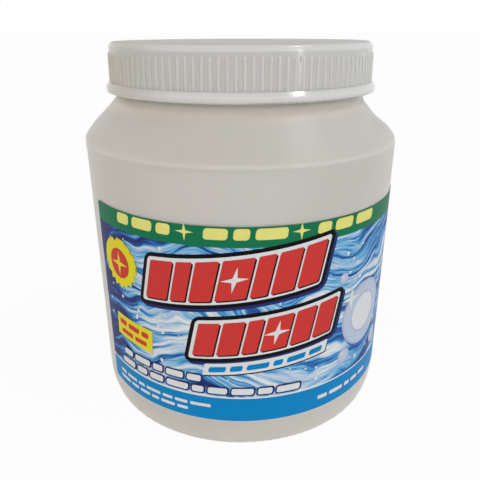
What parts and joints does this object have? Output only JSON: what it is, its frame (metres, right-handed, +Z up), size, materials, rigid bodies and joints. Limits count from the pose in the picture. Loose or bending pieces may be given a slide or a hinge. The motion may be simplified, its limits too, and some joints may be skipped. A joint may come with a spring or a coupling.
{
  "type": "dishwasher tablet tub",
  "caption": "Wide-mouth round plastic tub with a ribbed screw cap that unscrews, a wrap label and a fill of dishwasher packs.",
  "frame": {"origin": "middle of the plane that the foot ring stands on", "axes": "+Z up through the cap, front of the label towards -Y, +X to the viewer's right"},
  "size_m": [0.1384, 0.1384, 0.1614],
  "materials": {
    "natural_hdpe": "natural translucent polyethylene, smooth with a soft sheen",
    "cap_plastic": "natural milky plastic, satin, ribbed skirt",
    "liner_foam": "fine white foam sheet",
    "printed_film": "printed film with green, blue, red and yellow fields under a satin varnish",
    "pack_film": "clear water-soluble film over white powder with a blue layer"
  },
  "bodies": {
    "tub": {"jar": "natural_hdpe", "label": "printed_film", "pack_01": "pack_film", "pack_02": "pack_film", "pack_03": "pack_film", "pack_04": "pack_film", "pack_05": "pack_film", "pack_06": "pack_film", "pack_07": "pack_film", "pack_08": "pack_film", "pack_09": "pack_film", "pack_10": "pack_film", "pack_11": "pack_film", "pack_12": "pack_film", "pack_13": "pack_film", "pack_14": "pack_film", "pack_15": "pack_film", "pack_16": "pack_film", "pack_17": "pack_film", "pack_18": "pack_film", "pack_19": "pack_film", "pack_20": "pack_film", "pack_21": "pack_film", "pack_22": "pack_film", "pack_23": "pack_film", "pack_24": "pack_film", "pack_25": "pack_film", "pack_26": "pack_film", "pack_27": "pack_film", "pack_28": "pack_film", "pack_29": "pack_film", "pack_30": "pack_film", "pack_31": "pack_film", "pack_32": "pack_film", "pack_33": "pack_film", "pack_34": "pack_film", "pack_35": "pack_film"},
    "liner": {"cap_liner": "liner_foam"},
    "cap": {"screw_cap": "cap_plastic"}
  },
  "joints": [
    {"name": "cap_rise", "type": "slide", "parent": "tub", "child": "liner", "axis": [0, 0, 1], "range_m": [0, 0.0204]},
    {"name": "cap_turn", "type": "hinge", "parent": "liner", "child": "cap", "pos_m": [0, 0, 0.1505], "axis": [0, 0, 1], "range_deg": [0, 1440]}
  ],
  "couplings": [
    {"joint": "cap_rise", "follows": "cap_turn", "m_per_rad": 0.00080851}
  ]
}
